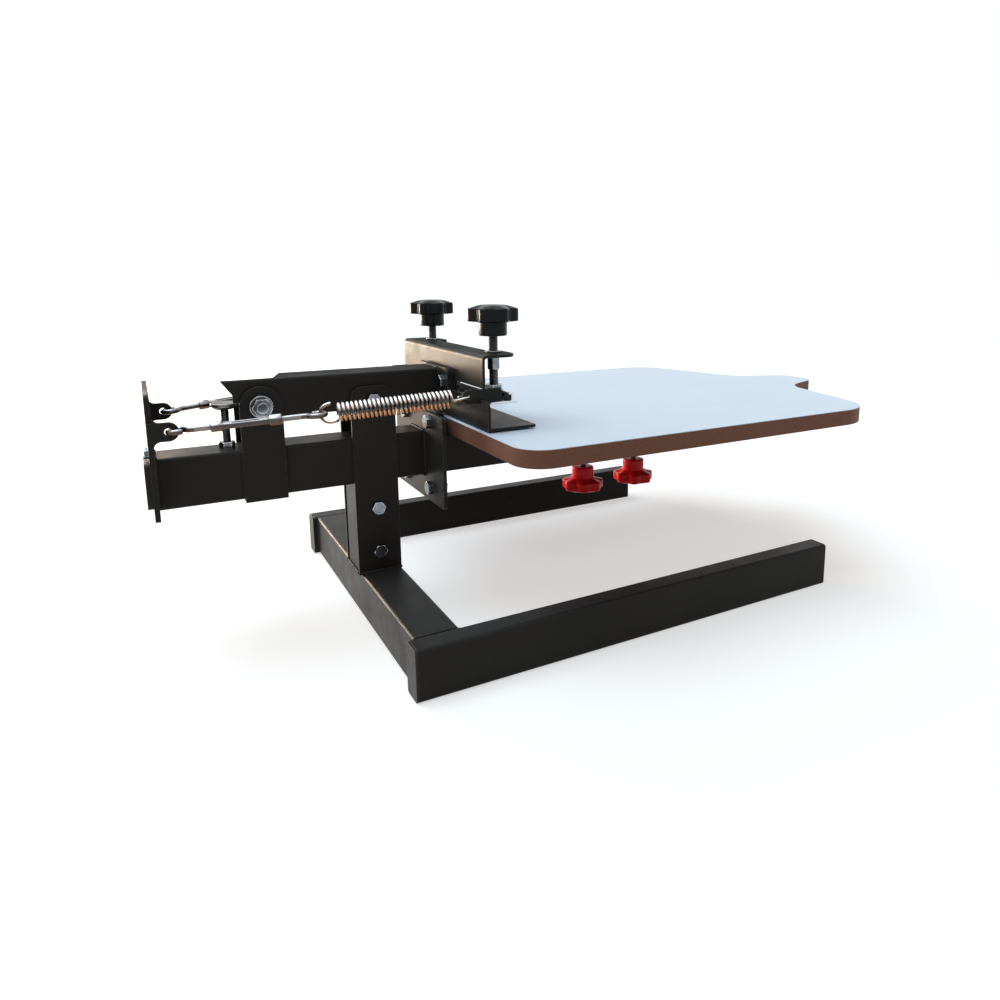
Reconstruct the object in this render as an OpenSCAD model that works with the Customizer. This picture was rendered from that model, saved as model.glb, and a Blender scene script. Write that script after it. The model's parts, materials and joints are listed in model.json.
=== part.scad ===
// Tabletop press for screen printing. A frame of steel tubes carries a post and a beam.
// A clamp arm turns on a bolt over the rear of the beam, and two springs balance it.
// The clamp at the arm's front holds a screen over a platen on a tube in front of the post.
// X runs forward to the free end of the platen, Y to the right of a person who stands there,
// and Z up. Stations along X are measured from the rear edge of the post's side plates.

/* [Base] */
// Height of the two leg tubes and of the cross tube
tube_h = 50; // [40:1:60]
// Width of a leg tube
leg_w = 25; // [25:1:40]
// Length of a leg tube without its plugs
leg_len = 510; // [400:5:650]
// How far a leg tube reaches behind the post's side plates
leg_rear = 2; // [1:1:10]
// Distance between the middles of the legs
leg_span = 413; // [300:1:500]
// Width of the cross tube under the post
cross_w = 45; // [45:1:60]
// Wall of every tube
tube_wall = 2.5; // [2:0.1:3]
// Outer corner radius of every tube
tube_r = 3.5; // [3.2:0.1:5]
// Thickness of the head of a tube plug
plug_t = 2; // [1:0.5:4]
// Depth of the part of a tube plug that sits in the tube
plug_depth = 12; // [6:1:20]

/* [Post] */
// Width of the square post
post_w = 45; // [40:1:45]
// Height of the post above the base tubes
post_h = 100; // [90:1:140]
// Thickness of the side plates of the post
side_t = 3; // [2:0.5:4]
// Width of the side plates of the post
side_w = 47; // [46:1:60]
// Height of the side plates above the base tubes
side_h = 205; // [200:1:215]
// Radius of the upper corners of the side plates
side_r = 13; // [5:1:20]
// Height of the lower post bolts above the base tubes
post_bolt_low = 23; // [15:1:30]
// Height of the upper post bolts above the base tubes
post_bolt_high = 72; // [60:1:80]
// Height of the guide screws above the base tubes
guide_up = 190; // [187:1:192]

/* [Beam] */
// Height of the main beam
beam_h = 50; // [45:1:60]
// Length of the main beam behind the side plates' rear edge
beam_rear = 182.5; // [165:0.5:220]
// Length of the main beam ahead of the side plates' rear edge
beam_front = 80; // [70:1:85]

/* [Spring anchor] */
// Thickness of the anchor plate across the rear end of the beam
anchor_t = 4.5; // [3:0.5:6]
// Width of the anchor plate
anchor_w = 116; // [90:1:140]
// Height of the anchor plate
anchor_h = 116; // [108:1:130]
// Thickness of an ear
ear_t = 4; // [3:0.5:4]
// Height of an ear, which ends in a half circle
ear_h = 17; // [15:1:24]
// Height of the ear holes above the underside of the beam
ear_up = 82.4; // [78:0.1:90]
// Distance of the ear holes ahead of the anchor plate
ear_reach = 12.5; // [11:0.5:20]
// Thickness of the block on the rear of the anchor plate
block_t = 5; // [4:0.5:12]

/* [Pivot] */
// Distance of the pivot behind the side plates' rear edge
pivot_back = 87; // [80:1:95]
// Height of the pivot above the beam
pivot_up = 42.5; // [40:0.5:46]
// Diameter of the pivot bolt
pivot_d = 10; // [8:1:12]
// Width of the saddle that holds the pivot bolt
saddle_w = 40; // [30:1:44]
// Thickness of the saddle's plate
saddle_t = 3; // [2:0.5:4]

/* [Arm] */
// Outer width of the arm channel
arm_w = 42.8; // [38:0.2:43]
// Height of the arm channel
arm_h = 39; // [37:1:41]
// Plate thickness of the arm channel
arm_t = 3; // [2:0.5:4]
// Height of the pivot above the arm's lower edge
arm_drop = 12; // [11:0.5:13]
// Reach of the arm's upper edge behind the pivot
tail_reach = 35; // [32:1:40]
// Station of the front end of the arm channel
arm_front = 99; // [96:1:102]
// Angle from the closed arm to the stop
arm_open = 30; // [24:1:30]

/* [Clamp] */
// Thickness of the plate that closes the arm
end_plate_t = 5.5; // [4:0.5:7]
// Thickness of the lower jaw and of the clamp head
clamp_t = 3; // [2:0.5:4]
// Reach of the lower jaw past the clamp head at each side
jaw_side = 19; // [5:1:40]
// Reach of the lower jaw from the end plate
jaw_reach = 52.5; // [45:0.5:60]
// Gap between the lower jaw and the platen
jaw_gap = 1.5; // [1:0.1:3]
// Width of the clamp head
head_w = 242; // [210:1:300]
// Height of the clamp head's upper face above the lower jaw's underside
head_up = 73.5; // [70:0.5:80]
// Gap between the pressure bar and a spring tab
bar_clear = 3; // [2:0.5:8]
// Height of the pressure bar
bar_h = 11; // [10:1:20]
// Clear height for the screen frame between the lower jaw and the raised bar
mouth_h = 19.5; // [17:0.5:21]
// Distance of a clamp screw from the end of the pressure bar
screw_inset = 25; // [18:1:36]
// Travel of the pressure bar
bar_travel = 15; // [10:1:15]

/* [Knobs] */
// Outer diameter of a star knob
knob_d = 53.5; // [40:0.5:56]
// Height of the star of a knob
star_h = 13.5; // [12:0.5:19]
// Height of the hub of a knob
hub_h = 15; // [12:1:19]
// Diameter of the hub of a knob
hub_d = 29.5; // [24:0.5:30]

/* [Platen] */
// Station of the rear edge of the platen
platen_rear = 100.5; // [100:0.5:110]
// Length of the platen with its neck
platen_len = 586; // [540:0.5:640]
// Width of the platen
platen_w = 460; // [400:1:500]
// Thickness of the platen's board
board_t = 17.2; // [15:0.1:22]
// Thickness of the laminate on the board
laminate_t = 0.8; // [0.5:0.1:1.5]
// Radius of the rear corners
platen_rear_r = 30; // [20:1:80]
// Radius of the front corners
platen_front_r = 58; // [20:1:70]
// Width of the neck where it meets the shoulders
neck_w = 112; // [80:1:140]
// Width of the neck at its free end
neck_tip_w = 56; // [50:1:80]
// Length of the neck ahead of the shoulders
neck_len = 76.5; // [60:0.5:90]
// How far the shoulders slope back from the neck to the corners
shoulder_slope = 46; // [10:1:60]
// Radius where the neck meets the shoulders
neck_r = 55; // [10:1:60]
// Length of the tube that carries the platen
support_len = 370; // [360:1:420]
// Travel of the platen along its tube
platen_travel = 70; // [40:1:70]

/* [Springs] */
// Diameter of the spring wire
wire_d = 3; // [2.4:0.1:3]
// Outer diameter of the spring
spring_d = 18.8; // [18:0.1:20]
// Full curls of one spring
spring_curls = 26; // [20:1:26]
// Height of the tab holes above the lower jaw's underside
tab_up = 33; // [32:0.5:34]
// Thickness of the round rods of the turnbuckle hooks
rod_d = 5.5; // [5:0.1:5.5]

/* [Hidden] */
$fn = 48;

// Overrun of every cut, radial play of a running fit, and gap between neighbours
over = 1;
fit = 0.05;
play = 0.3;

// Fasteners: thread and rod, width over flats, height of heads and nuts
m8_d = 8;
m8_af = 13;
m8_head = 5.3;
m8_nut = 6.5;
m6_d = 6;
m6_af = 10;
m6_head = 4;
m10_d = 10;
m10_af = 17;
m10_head = 6.4;
m10_nut = 8;
m10_thin_nut = 6;
thread_end = 1.5;
washer_t = 2;
washer_d = 22;
chamfer_share = 0.045;

// Levels
post_top = tube_h + post_h;
beam_top = post_top + beam_h;
beam_mid = post_top + beam_h / 2;
pivot_z = beam_top + pivot_up;
arm_z = pivot_z - arm_drop;
arm_top = arm_z + arm_h;
post_mid_x = side_w / 2;
cross_in = 2;
cross_mid_x = cross_in + cross_w / 2;

// Anchor plate and the plug behind it
block_h = 44;
block_w = 45;
block_drop = 1;
anchor_bolt_up = 53;
ear_out = 1;
ear_span = anchor_w + 2 * ear_out;
ear_hole_d = 7;
ear_root_r = 6;
ear_hole_x = -beam_rear + ear_reach;
ear_z = post_top + ear_up;

// Pivot: a lug inside the tail of the arm meets the stop when the arm is open
pivot_x = -pivot_back;
tail_x = pivot_x - tail_reach;
tail_tip_h = 14.7;
tail_step = 10.4;
tail_lower = 7.5;
tail_notch = 5.6;
heel_run = 6.5;
lug_corner = [-23, 17.1];
lug_l = 7;
lug_w = 10;
lug_h = 4.5;
lug_turn = atan2(lug_corner[1], lug_corner[0]) + arm_open;
stop_back = 31;
stop_x = pivot_x - stop_back;
stop_d = 25;
stop_h = 6;
stop_neck_d = 17;
stop_rim = 3;
stop_grip = 3;
stop_top = pivot_z + norm(lug_corner) * sin(lug_turn) - play;

// Rear end of the arm's web and of its right flange, measured ahead of the pivot
web_near = 13.5;
web_far = 26.3;
web_r = 5;
ear_of_arm_r = 18;
flange_ramp = 9;

// Joint between the beam and the platen's tube
flange_t = 4;
flange_w = 154;
flange_h = 100;
flange_low = 27;
flange_r = 5;
support_flange_t = 6;
support_flange_w = 100;
support_flange_h = 100;
flange_bolt_y = 38;
flange_bolt_z = 37;
flange_up = 26;
flange_mid = post_top + flange_up;
support_w = 45;
support_x = beam_front + flange_t + support_flange_t;

// Platen and the bracket under it
bracket_t = 3;
bracket_len = 200;
bracket_w = 160;
support_top = 44.7;
support_mid = post_top + support_top - support_w / 2;
bracket_z = post_top + support_top + play;
board_z = bracket_z + bracket_t;
laminate_z = board_z + board_t;
platen_top = laminate_z + laminate_t;
sleeve_in = support_w / 2 + play;
sleeve_low = support_mid - support_w / 2 - play - bracket_t;
bracket_x = 240;
lock_rear_x = 300;
lock_front_x = 380;
lock_hub_h = 18;
lock_star_h = 11.3;
lock_hub_d = 28;
lock_skirt = 4;
lock_reach = 20.4;
screw_d = 5;
screw_head_d = 9;
screw_head_h = 2.5;
screw_depth = 12;
screw_in = 15;
neck_corner_r = 22;
corner_steps = 16;
platen_front = platen_rear + platen_len;

// Clamp
jaw_z = platen_top + jaw_gap;
jaw_x = arm_front + end_plate_t;
jaw_w = head_w + 2 * jaw_side;
head_x = jaw_x + clamp_t;
head_top = jaw_z + head_up;
end_plate_w = 94;
end_plate_h = 31;
end_plate_over = 1.5;
end_plate_r = 6;
jaw_flange_h = 29.5;
jaw_r = 8;
jaw_mid_w = 90;
head_plate_h = 33;
head_r = 5;
head_flange = 27.5;
ear_w = 48;
head_waist = head_w - 2 * ear_w;
ear_flange = 39.5;
ear_outer_r = 13;
ear_inner_r = 3;
ear_steps = 12;
head_bolt_y = 33;
head_bolt_up = 37.5;
head_bolt_z = jaw_z + head_bolt_up;
tab_t = 3;
tab_h = 14.5;
tab_back = 18;
tab_fore = 24;
tab_hole_back = 6;
tab_hole_x = arm_front - tab_hole_back;
tab_span = head_w - tab_t;
tab_hole_d = 4.6;
tab_z = jaw_z + tab_up;
screw_reach = 26.5;
screw_x = head_x + screw_reach;
bar_w = 30;
bar_top_w = 21.6;
bar_base_t = 2.2;
bar_wall = 2.6;
bar_lip = 2.4;
bar_slot = 10.5;
bar_len = head_w - 2 * (tab_t + bar_clear);
screw_span = bar_len - 2 * screw_inset;
bar_z = jaw_z + clamp_t + mouth_h;
bar_top = bar_z + bar_h;
bush_len = 18.5;
bush_d = 12.6;
bush_rim_d = 17;
bush_rim_t = 1.6;
bush_chamfer = 0.8;
stud_head_d = 14.5;
stud_head_h = 5;
bar_gap = 0.2;
knob_gap = 2;
knob_z = head_top + bar_travel + knob_gap;
knob_grip = 12;

// Star of a knob
hub_skirt = 1.5;
star_lobes = 7;
star_cut_share = 0.09;
star_steps = 84;
star_turn = 17.5;
star_crown_share = 0.8;
star_crown_top_share = 0.4;
star_crown_h = 3.7;

// Spring link: a hook in the ear, the turnbuckle, a hook and the spring to the tab
hook_r = 7;
end_hook_r = 5;
loop_r = 7.5;
hook_lead = 6;
hook_sides = 10;
hook_from = 40;
hook_to = 305;
rod_steps = 12;
link_from = [ear_hole_x + hook_r, ear_span / 2, ear_z];
link_to = [tab_hole_x - end_hook_r, tab_span / 2, tab_z];
link_run = link_to - link_from;
link_len = norm(link_run);
link_yaw = atan2(link_run[1], link_run[0]);
link_pitch = asin(link_run[2] / link_len);
rear_sleeve_x = 27.6;
rear_sleeve_len = 10;
rear_sleeve_d = 9.5;
bars_len = 40;
bars_h = 5.5;
bars_t = 3;
bars_gap = 6.4;
front_sleeve_len = 11.3;
front_sleeve_d = 10.5;
rod_inside = 8;
bars_x = rear_sleeve_x + rear_sleeve_len;
front_sleeve_x = bars_x + bars_len;
front_hook_x = 120;

// Spring wire
spring_r = (spring_d - wire_d) / 2;
loop_x = front_hook_x + hook_r - (rod_d + wire_d) / 2 - play + loop_r;
coil_x = loop_x + loop_r + wire_d / 2;
coil_short = 13;
coil_end = link_len - coil_short;
curl_rings = 8;
wire_sides = 6;
coil_start = -60;
loop_start = 100;
loop_turn = 185;
loop_steps = 11;
hook_turn = 210;
hook_steps = 9;
join_steps = 5;
coil_turn = 360 * spring_curls + 240;
coil_pitch = (coil_end - coil_x) * 360 / coil_turn;
gap_needed = 0.4;

// The object's middle along X, where the origin lies
rear_x = -beam_rear - anchor_t - block_t;
mid_x = (rear_x + platen_front) / 2;

// Points of an arc, of a cubic curve and of a polygon with rounded corners
function arc_xy(c, r, a, b, n) = [for (i = [0:n])
    let (t = a + (b - a) * i / n) c + r * [cos(t), sin(t)]];
function cubic(p, q, r, s, n) = [for (i = [1:n - 1]) let (t = i / n, u = 1 - t)
    u * u * u * p + 3 * u * u * t * q + 3 * u * t * t * r + t * t * t * s];
function unit(v) = v / norm(v);
function short_turn(a) = a > 180 ? a - 360 : a < -180 ? a + 360 : a;
function corner(p, a, b, r, n) =
    let (u = unit(a - p), v = unit(b - p), half = acos(u * v) / 2, c = p + unit(u + v) * r / sin(half))
    let (s = p + u * r / tan(half) - c, e = p + v * r / tan(half) - c, from = atan2(s[1], s[0]))
    arc_xy(c, r, from, from + short_turn(atan2(e[1], e[0]) - from), n);
function rounded(points, radii, n) = let (k = len(points))
    [for (i = [0:k - 1]) each corner(points[i], points[(i + k - 1) % k], points[(i + 1) % k], radii[i], n)];

// A tube of constant thickness along a path of points
function heading(p, i) = unit(p[min(i + 1, len(p) - 1)] - p[max(i - 1, 0)]);
function square_to(n, t) = unit(n - (n * t) * t);
function side_ways(p, n) = [for (i = 0, m = square_to(n, heading(p, 0)); i < len(p);
    i = i + 1, m = i < len(p) ? square_to(m, heading(p, i)) : m) m];
function rings(p, n, r, k) = let (m = side_ways(p, n)) [for (i = [0:len(p) - 1])
    let (w = cross(heading(p, i), m[i])) for (j = [0:k - 1])
        p[i] + r * (cos(360 * j / k) * m[i] + sin(360 * j / k) * w)];
function ring_faces(n, k) = [
    for (j = [1:k - 2]) [0, j, j + 1],
    for (i = [0:n - 2], j = [0:k - 1]) each
        let (a = i * k + j, b = i * k + (j + 1) % k) [[a, a + k, b], [b, a + k, b + k]],
    for (j = [1:k - 2]) [(n - 1) * k, (n - 1) * k + j + 1, (n - 1) * k + j]
];
module wire(points, d, sides, start) {
    polyhedron(rings(points, start, d / 2, sides), ring_faces(len(points), sides), convexity = 10);
}

// Least gap between stretches of a wire that lie more than half a curl apart along it
function least_gap(p, d) = min([for (i = [0:len(p) - 1 - curl_rings], j = [i + curl_rings / 2 + 1:len(p) - 1])
    norm(p[i] - p[j])]) - d;

// Places and plain shapes
module at(x, y, z) {
    translate([x - mid_x, y, z]) children();
}
module inward(side, x, y, z) {
    at(x, side * y, z) rotate([side * 90, 0, 0]) children();
}
module forward() {
    rotate([0, 90, 0]) children();
}
module along_x(l) {
    rotate([90, 0, 90]) linear_extrude(l) children();
}
module along_y(l) {
    rotate([90, 0, 0]) linear_extrude(l, center = true) children();
}
module rounded_rect(w, h, r) {
    square([w - 2 * r, h], center = true);
    square([w, h - 2 * r], center = true);
    for (x = [-1, 1], y = [-1, 1]) {
        translate([x * (w / 2 - r), y * (h / 2 - r)]) circle(r);
    }
}
module top_rounded(w, h, r) {
    translate([0, (h - r) / 2]) square([w, h - r], center = true);
    translate([0, h / 2]) square([w - 2 * r, h], center = true);
    for (x = [-1, 1]) {
        translate([x * (w / 2 - r), h - r]) circle(r);
    }
}
module tube_profile(w, h) {
    difference() {
        rounded_rect(w, h, tube_r);
        rounded_rect(w - 2 * tube_wall, h - 2 * tube_wall, tube_r - tube_wall);
    }
}
module bore(d, l) {
    translate([0, 0, -over]) cylinder(h = l + 2 * over, d = d + 2 * fit);
}
module hex_blank(af, h) {
    chamfer = af * chamfer_share;
    corner_r = af / sqrt(3);
    intersection() {
        cylinder(h = h, r = corner_r, $fn = 6);
        union() {
            cylinder(h = chamfer, r1 = af / 2, r2 = corner_r);
            translate([0, 0, chamfer]) cylinder(h = h - chamfer, r = corner_r);
        }
    }
}
module hex_bolt(d, l, af, head_h) {
    translate([0, 0, -head_h]) hex_blank(af, head_h);
    cylinder(h = l, d = d);
}
module hex_nut(d, af, h) {
    difference() {
        hex_blank(af, h);
        bore(d, h);
    }
}
module washer(d, hole, t) {
    difference() {
        cylinder(h = t, d = d);
        bore(hole, t);
    }
}
module end_plug(w, h, head) {
    along_x(head) rounded_rect(w, h, tube_r);
    inset = tube_wall + fit;
    translate([-plug_depth, 0, 0]) along_x(plug_depth)
        rounded_rect(w - 2 * inset, h - 2 * inset, tube_r - tube_wall);
}

// Base
module rear_cross_tube() {
    color("#2b2b2e") at(cross_mid_x, 0, tube_h / 2) along_y(leg_span - leg_w)
        tube_profile(cross_w, tube_h);
}
module leg_tube(side) {
    color("#2b2b2e") at(-leg_rear, side * leg_span / 2, tube_h / 2) along_x(leg_len)
        tube_profile(leg_w, tube_h);
}
module left_leg_tube() {
    leg_tube(-1);
}
module right_leg_tube() {
    leg_tube(1);
}
module leg_plugs() {
    color("#1c1c1e") for (side = [-1, 1]) {
        at(leg_len - leg_rear, side * leg_span / 2, tube_h / 2) end_plug(leg_w, tube_h, plug_t);
        at(-leg_rear, side * leg_span / 2, tube_h / 2) mirror([1, 0, 0]) end_plug(leg_w, tube_h, plug_t);
    }
}

// Post
module post_tube() {
    color("#2b2b2e") difference() {
        at(post_mid_x, 0, tube_h) linear_extrude(post_h) tube_profile(post_w, post_w);
        for (z = [post_bolt_low, post_bolt_high]) {
            inward(1, post_mid_x, post_w / 2, tube_h + z) bore(m8_d, post_w);
        }
    }
}
module post_plate(side) {
    color("#2b2b2e") difference() {
        at(side_w / 2, side * (post_w + side_t) / 2, tube_h) along_y(side_t)
            top_rounded(side_w, side_h, side_r);
        for (z = [post_bolt_low, post_bolt_high, guide_up]) {
            inward(side, post_mid_x, post_w / 2 + side_t, tube_h + z) bore(m8_d, side_t);
        }
    }
}
module left_post_plate() {
    post_plate(-1);
}
module right_post_plate() {
    post_plate(1);
}
module post_bolts() {
    grip = side_t + tube_wall + m8_nut + thread_end;
    color("#b9bcc0") for (side = [-1, 1], z = [post_bolt_low, post_bolt_high]) {
        inward(side, post_mid_x, post_w / 2 + side_t, tube_h + z) hex_bolt(m8_d, grip, m8_af, m8_head);
    }
}
module post_nuts() {
    color("#9a9da1") for (side = [-1, 1], z = [post_bolt_low, post_bolt_high]) {
        inward(side, post_mid_x, post_w / 2 - tube_wall, tube_h + z) hex_nut(m8_d, m8_af, m8_nut);
    }
}
module guide_screws() {
    reach = post_w / 2 + side_t - arm_w / 2 - play;
    color("#b9bcc0") for (side = [-1, 1]) {
        inward(side, post_mid_x, post_w / 2 + side_t, tube_h + guide_up)
            hex_bolt(m8_d, reach, m8_af, m8_head);
    }
}

// Beam and spring anchor
module main_beam() {
    color("#2b2b2e") difference() {
        at(-beam_rear, 0, beam_mid) along_x(beam_rear + beam_front) tube_profile(post_w, beam_h);
        at(stop_x, 0, beam_top - tube_wall) bore(m8_d, tube_wall);
    }
}
module beam_plug() {
    inset = tube_wall + fit;
    color("#1c1c1e") {
        at(rear_x, 0, beam_mid - block_drop) along_x(block_t) rounded_rect(block_w, block_h, tube_r);
        at(rear_x + block_t, 0, beam_mid) along_x(anchor_t + plug_depth)
            rounded_rect(post_w - 2 * inset, beam_h - 2 * inset, tube_r - tube_wall);
    }
}
module ear_outline() {
    root = ear_hole_x + beam_rear;
    circle(d = ear_h);
    translate([-root - anchor_t, -ear_h / 2]) square([root + anchor_t, ear_h]);
    for (s = [-1, 1]) {
        scale([1, s]) difference() {
            translate([-root, 0]) square([ear_root_r, ear_h / 2 + ear_root_r]);
            translate([ear_root_r - root, ear_h / 2 + ear_root_r]) circle(ear_root_r);
        }
    }
}
module anchor_plate() {
    color("#8f7b66") difference() {
        union() {
            at(rear_x + block_t, 0, post_top) along_x(anchor_t) top_rounded(anchor_w, anchor_h, ear_root_r);
            for (side = [-1, 1]) {
                at(ear_hole_x, side * ear_span / 2, ear_z) along_y(ear_t) ear_outline();
            }
        }
        at(rear_x, 0, beam_mid) along_x(block_t + anchor_t + over)
            rounded_rect(post_w - 2 * tube_wall, beam_h - 2 * tube_wall, tube_r - tube_wall);
        at(-beam_rear - anchor_t, 0, post_top + anchor_bolt_up) forward() bore(m6_d, anchor_t);
        for (side = [-1, 1]) {
            inward(side, ear_hole_x, (ear_span + ear_t) / 2, ear_z) bore(ear_hole_d - 2 * fit, ear_t);
        }
    }
}
module anchor_bolt() {
    color("#b9bcc0") at(-beam_rear - anchor_t, 0, post_top + anchor_bolt_up) forward()
        hex_bolt(m6_d, anchor_t, m6_af, m6_head);
}

// Pivot
module pivot_bracket() {
    rise = pivot_z - post_top + saddle_t;
    color("#2b2b2e") difference() {
        union() {
            for (side = [-1, 1]) {
                at(pivot_x, side * (post_w + saddle_t) / 2, pivot_z) along_y(saddle_t) {
                    circle(d = saddle_w);
                    translate([-saddle_w / 2, -rise]) square([saddle_w, rise]);
                }
            }
            at(pivot_x - saddle_w / 2, -post_w / 2, post_top - saddle_t) cube([saddle_w, post_w, saddle_t]);
        }
        inward(1, pivot_x, post_w / 2 + saddle_t, pivot_z) bore(pivot_d, post_w + 2 * saddle_t);
    }
}
module pivot_bolt() {
    grip = post_w + 2 * saddle_t + 2 * washer_t + m10_nut + thread_end;
    color("#c9cbce") inward(1, pivot_x, post_w / 2 + saddle_t + washer_t, pivot_z)
        hex_bolt(pivot_d, grip, m10_af, m10_head);
}
module pivot_nut() {
    color("#c9cbce") inward(1, pivot_x, -post_w / 2 - saddle_t - washer_t, pivot_z) mirror([0, 0, 1])
        translate([0, 0, -m10_nut]) hex_nut(pivot_d, m10_af, m10_nut);
}
module pivot_washers() {
    color("#c9cbce") for (side = [-1, 1]) {
        inward(side, pivot_x, post_w / 2 + saddle_t + washer_t, pivot_z) washer(washer_d, pivot_d, washer_t);
    }
}
module thrust_washers() {
    color("#d8d4c8") for (side = [-1, 1]) {
        inward(side, pivot_x, post_w / 2 - fit, pivot_z)
            washer(washer_d, pivot_d, (post_w - arm_w) / 2 - 2 * fit);
    }
}

// Stop under the tail of the arm
module stop_disc() {
    color("#8a8b86") difference() {
        at(stop_x, 0, stop_top - stop_h) {
            cylinder(h = stop_h - stop_rim, d1 = stop_neck_d, d2 = stop_d);
            translate([0, 0, stop_h - stop_rim]) cylinder(h = stop_rim, d = stop_d);
        }
        at(stop_x, 0, stop_top - stop_h - over) cylinder(h = over + stop_grip, d = m8_d + 2 * fit);
    }
}
module stop_stud() {
    foot = beam_top - tube_wall - m8_nut - thread_end;
    color("#b9bcc0") at(stop_x, 0, foot) cylinder(h = stop_top - stop_h + stop_grip - foot, d = m8_d);
}
module stop_nuts() {
    color("#b9bcc0") {
        at(stop_x, 0, beam_top + m8_nut) mirror([0, 0, 1]) hex_nut(m8_d, m8_af, m8_nut);
        at(stop_x, 0, beam_top - tube_wall - m8_nut) hex_nut(m8_d, m8_af, m8_nut);
    }
}

// Joint between the beam and the platen's tube
module at_flange_bolts() {
    for (y = [-1, 1], z = [-1, 1]) {
        at(beam_front, y * flange_bolt_y, flange_mid + z * flange_bolt_z) forward() children();
    }
}
module flange_plate() {
    color("#2b2b2e") difference() {
        at(beam_front, 0, post_top - flange_low + flange_h / 2) along_x(flange_t)
            rounded_rect(flange_w, flange_h, flange_r);
        at_flange_bolts() bore(m8_d, flange_t);
    }
}
module support_flange() {
    color("#2b2b2e") difference() {
        at(beam_front + flange_t, 0, flange_mid) along_x(support_flange_t)
            rounded_rect(support_flange_w, support_flange_h, flange_r);
        at_flange_bolts() bore(m8_d, flange_t + support_flange_t);
    }
}
module flange_bolts() {
    grip = flange_t + support_flange_t + m8_nut + thread_end;
    color("#b9bcc0") at_flange_bolts() hex_bolt(m8_d, grip, m8_af, m8_head);
}
module flange_nuts() {
    color("#b9bcc0") at_flange_bolts() translate([0, 0, flange_t + support_flange_t + m8_nut])
        mirror([0, 0, 1]) hex_nut(m8_d, m8_af, m8_nut);
}
module support_tube() {
    color("#2b2b2e") at(support_x, 0, support_mid) along_x(support_len) tube_profile(support_w, support_w);
}
module support_plug() {
    color("#1c1c1e") at(support_x + support_len, 0, support_mid) end_plug(support_w, support_w, plug_t);
}

// Platen, from its rear edge forward
module platen_outline() {
    shoulder = platen_len - neck_len;
    side = platen_w / 2;
    neck = neck_w / 2;
    tip = neck_tip_w / 2;
    points = [
        [0, -side], [shoulder - shoulder_slope, -side], [shoulder, -neck], [platen_len, -tip],
        [platen_len, tip], [shoulder, neck], [shoulder - shoulder_slope, side], [0, side]
    ];
    radii = [
        platen_rear_r, platen_front_r, neck_r, neck_corner_r,
        neck_corner_r, neck_r, platen_front_r, platen_rear_r
    ];
    polygon(rounded(points, radii, corner_steps));
}
module at_platen_screws(z) {
    for (x = [screw_in, bracket_len / 2, bracket_len - screw_in], y = [-1, 1]) {
        at(bracket_x + x, y * (bracket_w / 2 - screw_in), z) children();
    }
}
module platen_board() {
    color("#6b4433") difference() {
        at(platen_rear, 0, board_z) linear_extrude(board_t) platen_outline();
        at_platen_screws(board_z - over) cylinder(h = screw_depth + over, d = screw_d + 2 * fit);
    }
}
module platen_laminate() {
    color("#eef2f5") at(platen_rear, 0, laminate_z) linear_extrude(laminate_t) platen_outline();
}
module platen_bracket() {
    color("#2b2b2e") difference() {
        union() {
            at(bracket_x, -bracket_w / 2, bracket_z) cube([bracket_len, bracket_w, bracket_t]);
            at(bracket_x, -sleeve_in - bracket_t, sleeve_low)
                cube([bracket_len, 2 * (sleeve_in + bracket_t), bracket_z - sleeve_low]);
        }
        at(bracket_x - over, -sleeve_in, sleeve_low + bracket_t)
            cube([bracket_len + 2 * over, 2 * sleeve_in, bracket_z - sleeve_low - bracket_t]);
        at_platen_screws(bracket_z) bore(screw_d, bracket_t);
        for (x = [lock_rear_x, lock_front_x]) {
            at(x, 0, sleeve_low) bore(m8_d, bracket_t);
        }
    }
}
module platen_screws() {
    color("#c2b280") at_platen_screws(bracket_z) {
        translate([0, 0, -screw_head_h]) cylinder(h = screw_head_h, d = screw_head_d);
        cylinder(h = bracket_t + screw_depth - play, d = screw_d);
    }
}
module platen_nuts() {
    color("#b9bcc0") for (x = [lock_rear_x, lock_front_x]) {
        at(x, 0, sleeve_low - m8_nut) hex_nut(m8_d, m8_af, m8_nut);
    }
}

// Star knobs, with the star on top
module star_outline(d) {
    depth = d * star_cut_share;
    polygon([for (i = [0:star_steps - 1])
        let (a = 360 * i / star_steps, r = d / 2 - depth * (1 - cos(star_lobes * (a - star_turn))) / 2)
        r * [cos(a), sin(a)]]);
}
module star_knob(d, star, hub, hub_wide, skirt, hole) {
    difference() {
        union() {
            cylinder(h = hub, d = hub_wide);
            translate([0, 0, hub - skirt]) cylinder(h = skirt, d1 = hub_wide, d2 = d * star_crown_share);
            translate([0, 0, hub]) linear_extrude(star) star_outline(d);
            translate([0, 0, hub + star])
                cylinder(h = star_crown_h, d1 = d * star_crown_share, d2 = d * star_crown_top_share);
        }
        translate([0, 0, -over]) cylinder(h = over + knob_grip + fit, d = hole + 2 * fit);
    }
}
module lock_stud(x) {
    color("#b9bcc0") at(x, 0, sleeve_low - lock_reach - knob_grip)
        cylinder(h = lock_reach + knob_grip + bracket_t + play - fit, d = m8_d);
}
module lock_knob(x) {
    color("#b01622") at(x, 0, sleeve_low - lock_reach) mirror([0, 0, 1])
        star_knob(knob_d, lock_star_h, lock_hub_h, lock_hub_d, lock_skirt, m8_d);
}
module rear_lock_stud() {
    lock_stud(lock_rear_x);
}
module rear_lock_knob() {
    lock_knob(lock_rear_x);
}
module front_lock_stud() {
    lock_stud(lock_front_x);
}
module front_lock_knob() {
    lock_knob(lock_front_x);
}

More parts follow.
